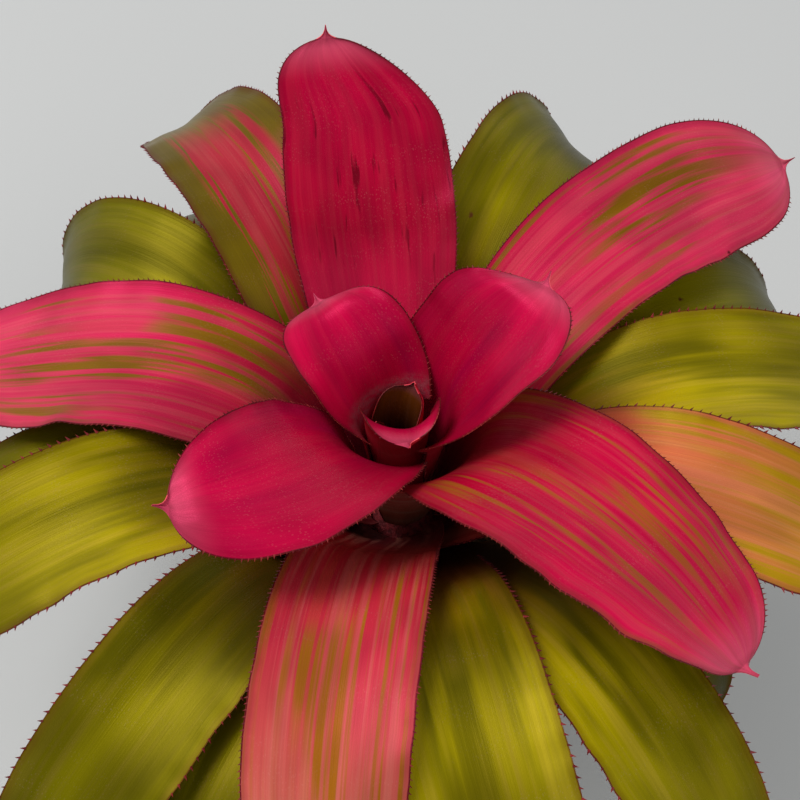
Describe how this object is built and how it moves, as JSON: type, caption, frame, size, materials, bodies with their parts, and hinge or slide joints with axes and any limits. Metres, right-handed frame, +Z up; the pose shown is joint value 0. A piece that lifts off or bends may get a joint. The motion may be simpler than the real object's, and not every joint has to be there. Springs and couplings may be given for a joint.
{
  "type": "potted bromeliad",
  "caption": "Wide rosette of strap leaves around a water-holding cup, crimson at the heart, striped and olive further out, rooted in a round tapered nursery pot.",
  "frame": {"origin": "centre of the pot's underside, on the surface it stands on", "axes": "+Z up along the pot's and the rosette's axis; +X to the right and +Y away from someone who stands in front of the plant"},
  "size_m": [0.4098, 0.4176, 0.2764],
  "materials": {
    "leaf_crimson": "glossy leaf, crimson",
    "leaf_striped": "glossy leaf, pink with olive stripes",
    "leaf_green": "satin leaf, olive green",
    "pot": "satin moulded plastic, near black",
    "potting_mix": "loose bark and fibre, dark brown",
    "stem": "pale brown plant tissue"
  },
  "bodies": {
    "root": {"pot": "pot", "potting_mix": "potting_mix", "stem": "stem", "leaf_01": "leaf_crimson", "leaf_02": "leaf_crimson", "leaf_03": "leaf_crimson", "leaf_04": "leaf_crimson", "leaf_05": "leaf_crimson", "leaf_06": "leaf_crimson", "leaf_07": "leaf_crimson", "leaf_08": "leaf_striped", "leaf_09": "leaf_striped", "leaf_10": "leaf_striped", "leaf_11": "leaf_striped", "leaf_12": "leaf_striped", "leaf_13": "leaf_green", "leaf_14": "leaf_green", "leaf_15": "leaf_green", "leaf_16": "leaf_green", "leaf_17": "leaf_green", "leaf_18": "leaf_green", "leaf_19": "leaf_green", "leaf_20": "leaf_green", "leaf_21": "leaf_green", "leaf_22": "leaf_green", "leaf_23": "leaf_green", "leaf_24": "leaf_green", "leaf_25": "leaf_green", "leaf_26": "leaf_green"}
  },
  "joints": []
}
